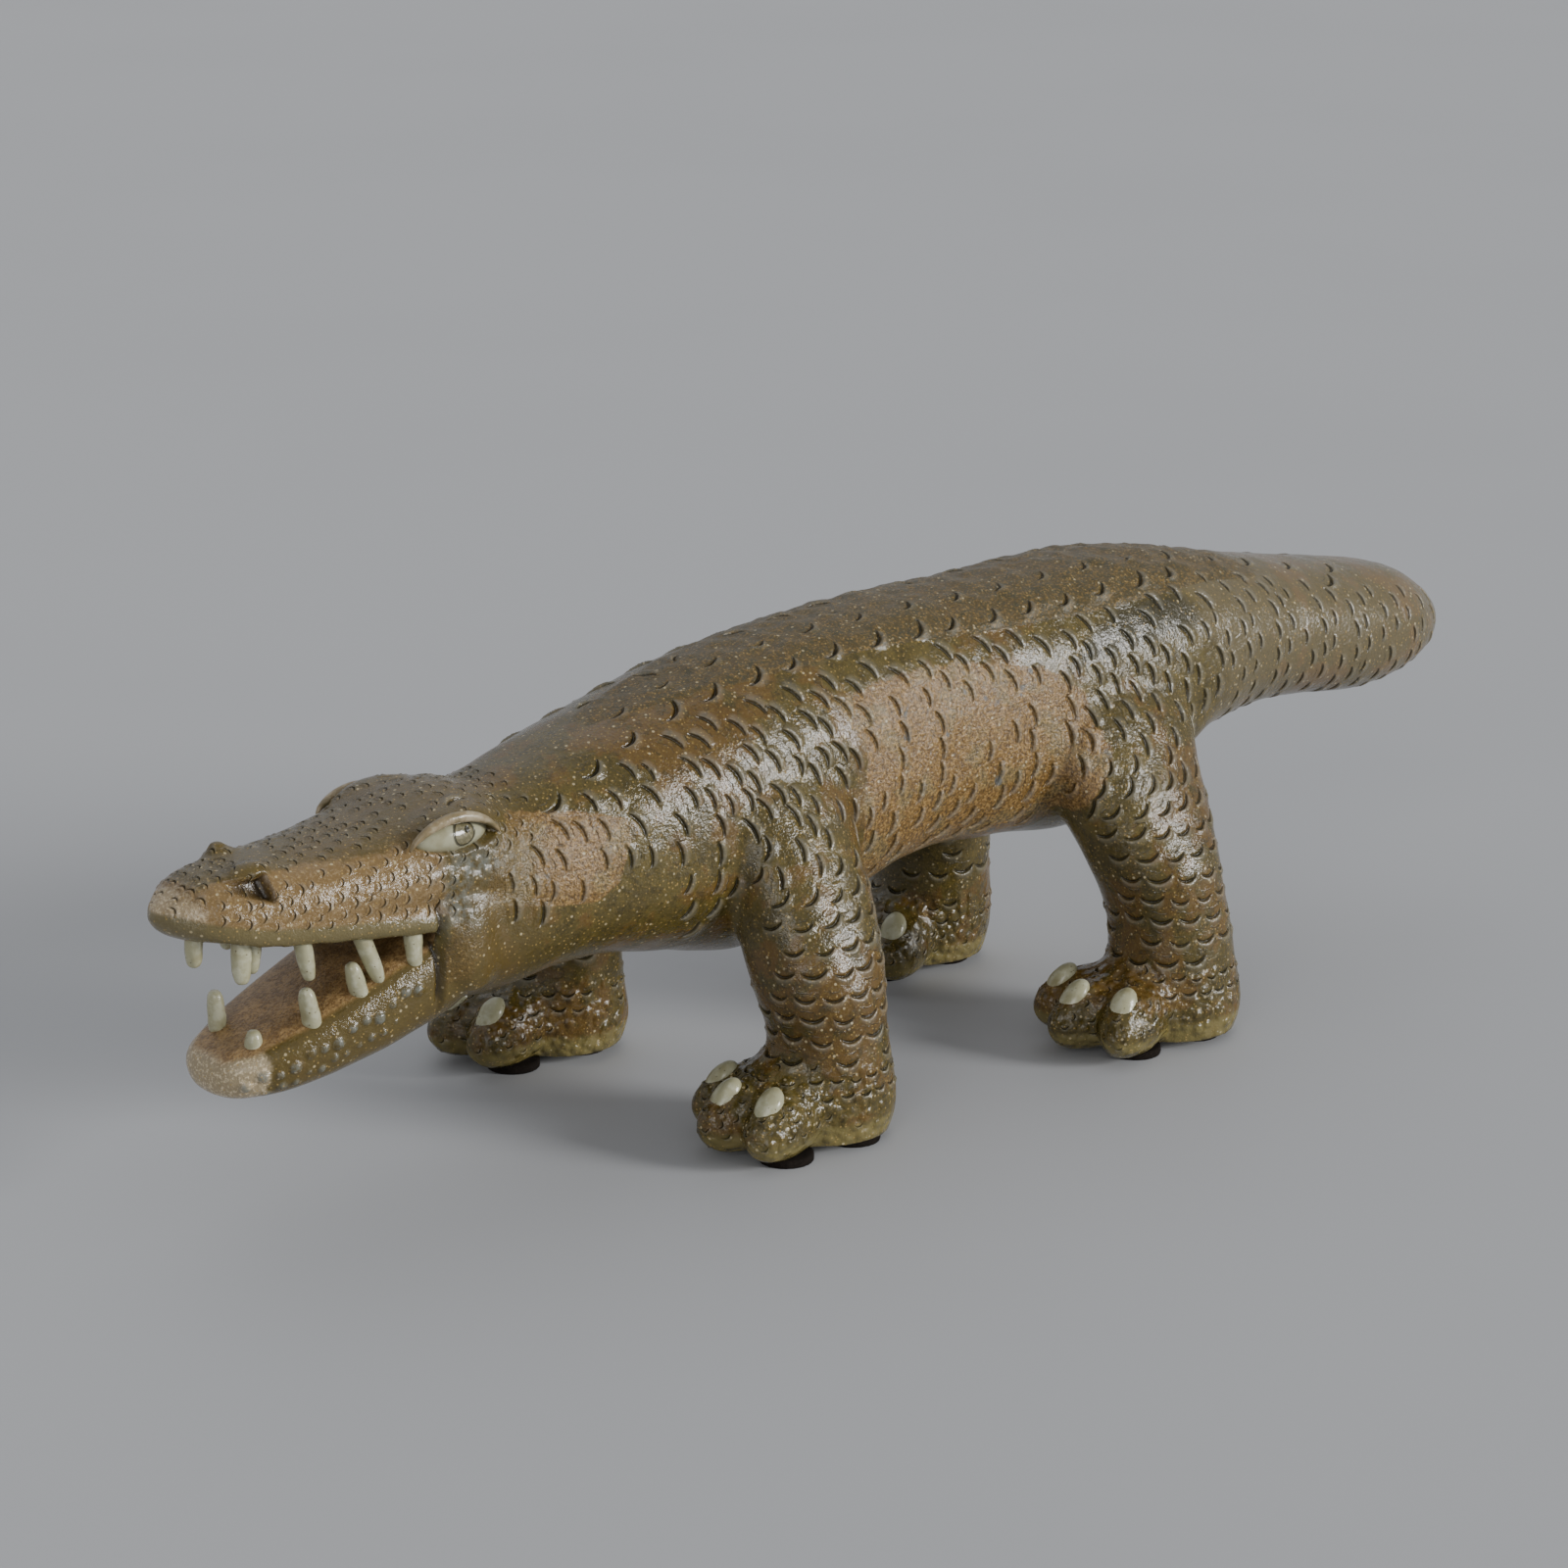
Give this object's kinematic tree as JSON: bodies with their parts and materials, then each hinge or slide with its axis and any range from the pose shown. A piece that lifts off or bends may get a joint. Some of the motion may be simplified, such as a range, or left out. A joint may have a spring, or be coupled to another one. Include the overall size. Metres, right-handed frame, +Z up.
{
  "type": "ceramic komodo dragon sculpture",
  "caption": "Open-mouthed lizard figure in glazed stoneware, with scale marks, teeth and claws, standing on felt pads under its feet.",
  "frame": {"origin": "middle of the outline on the ground, at the felt pads' undersides", "axes": "+X from the head to the tail tip, +Z up, the animal's left side towards -Y"},
  "size_m": [0.6113, 0.1967, 0.1723],
  "materials": {
    "olive_glaze": "glossy",
    "brown_felt": "matte"
  },
  "bodies": {
    "root": {"komodo_dragon": "olive_glaze", "left_front_heel_pad": "brown_felt", "left_front_toe_pad": "brown_felt", "left_hind_heel_pad": "brown_felt", "left_hind_toe_pad": "brown_felt", "right_front_heel_pad": "brown_felt", "right_front_toe_pad": "brown_felt", "right_hind_heel_pad": "brown_felt", "right_hind_toe_pad": "brown_felt"}
  },
  "joints": []
}
